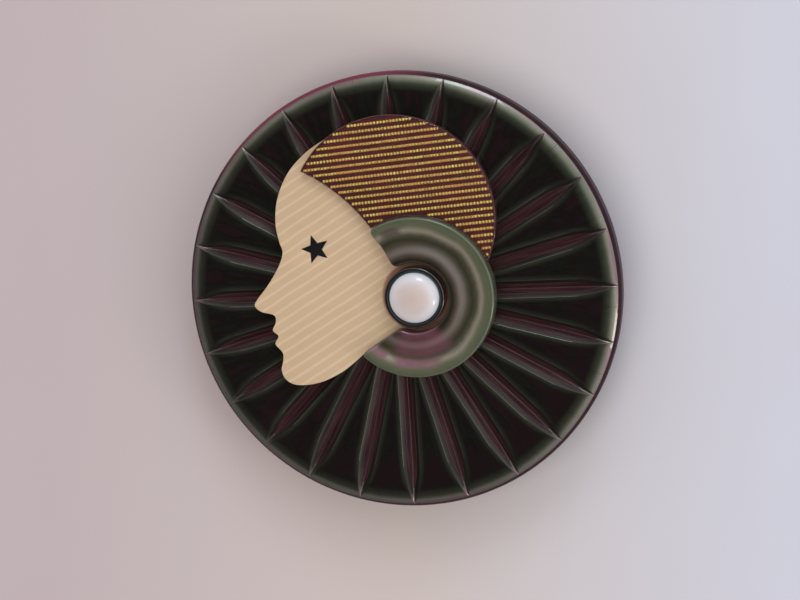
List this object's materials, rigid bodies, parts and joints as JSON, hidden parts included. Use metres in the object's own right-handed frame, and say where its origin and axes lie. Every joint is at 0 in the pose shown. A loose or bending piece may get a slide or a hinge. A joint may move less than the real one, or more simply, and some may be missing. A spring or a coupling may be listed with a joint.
{
  "type": "brooch",
  "caption": "Round fluted acetate brooch with an inlaid head in profile, striped hair, ridged ear curl and pearl; bar pin with hinged needle and turning safety catch on its back.",
  "frame": {"origin": "centre of the disc in X and Y, at the lowest point of the pin fitting on its back", "axes": "+Z out of the front, +Y up as the brooch is worn, +X to the right as seen from the front; it lies face up"},
  "size_m": [0.054, 0.054, 0.0123],
  "materials": {
    "burgundy_acetate": "polished deep burgundy cellulose acetate with a faint pearl swirl",
    "green_pearl_acetate": "polished pearlescent acetate, near-black green with taupe and mauve lights on its slopes",
    "cream_acetate": "satin cream acetate with fine paler slanting lines",
    "black_acetate": "polished black acetate",
    "wine_acetate": "dark wine acetate ground between the threads",
    "gold_thread": "twisted gold metal thread, laid in rows",
    "clear_acetate": "thin clear polished layer over the threads",
    "imitation_pearl": "white pearl cabochon with a soft lustre",
    "gold_tone_brass": "gold-tone polished brass, lightly worn",
    "polished_steel": "drawn and polished steel wire"
  },
  "bodies": {
    "brooch": {"disc_base": "burgundy_acetate", "disc_front": "green_pearl_acetate", "head_plate": "cream_acetate", "star_inlay": "black_acetate", "hair_backing": "wine_acetate", "hair_thread_01": "gold_thread", "hair_thread_02": "gold_thread", "hair_thread_03": "gold_thread", "hair_thread_04": "gold_thread", "hair_thread_05": "gold_thread", "hair_thread_06": "gold_thread", "hair_thread_07": "gold_thread", "hair_thread_08": "gold_thread", "hair_thread_09": "gold_thread", "hair_thread_10": "gold_thread", "hair_thread_11": "gold_thread", "hair_thread_12": "gold_thread", "hair_thread_13": "gold_thread", "hair_thread_14": "gold_thread", "hair_thread_15": "gold_thread", "hair_thread_16": "gold_thread", "hair_thread_17": "gold_thread", "hair_thread_18": "gold_thread", "hair_thread_19": "gold_thread", "hair_thread_20": "gold_thread", "hair_thread_21": "gold_thread", "hair_thread_22": "gold_thread", "hair_thread_23": "gold_thread", "hair_thread_24": "gold_thread", "hair_cover": "clear_acetate", "ear_curl": "green_pearl_acetate", "ear_cup": "black_acetate", "ear_pearl": "imitation_pearl", "pin_bar": "gold_tone_brass", "bar_rivet_left": "gold_tone_brass", "bar_rivet_right": "gold_tone_brass", "hinge_rivet": "polished_steel", "catch_housing": "gold_tone_brass"},
    "needle": {"pin_stem": "polished_steel"},
    "safety_catch": {"catch_rotor": "gold_tone_brass"}
  },
  "joints": [
    {"name": "needle_hinge", "type": "hinge", "parent": "brooch", "child": "needle", "pos_m": [-0.0166, 0.006, 0.0018], "axis": [0, 1, 0], "range_deg": [0, 100]},
    {"name": "catch_turn", "type": "hinge", "parent": "brooch", "child": "safety_catch", "pos_m": [0.015, 0.006, 0.0018], "axis": [1, 0, 0], "range_deg": [0, 120]}
  ]
}
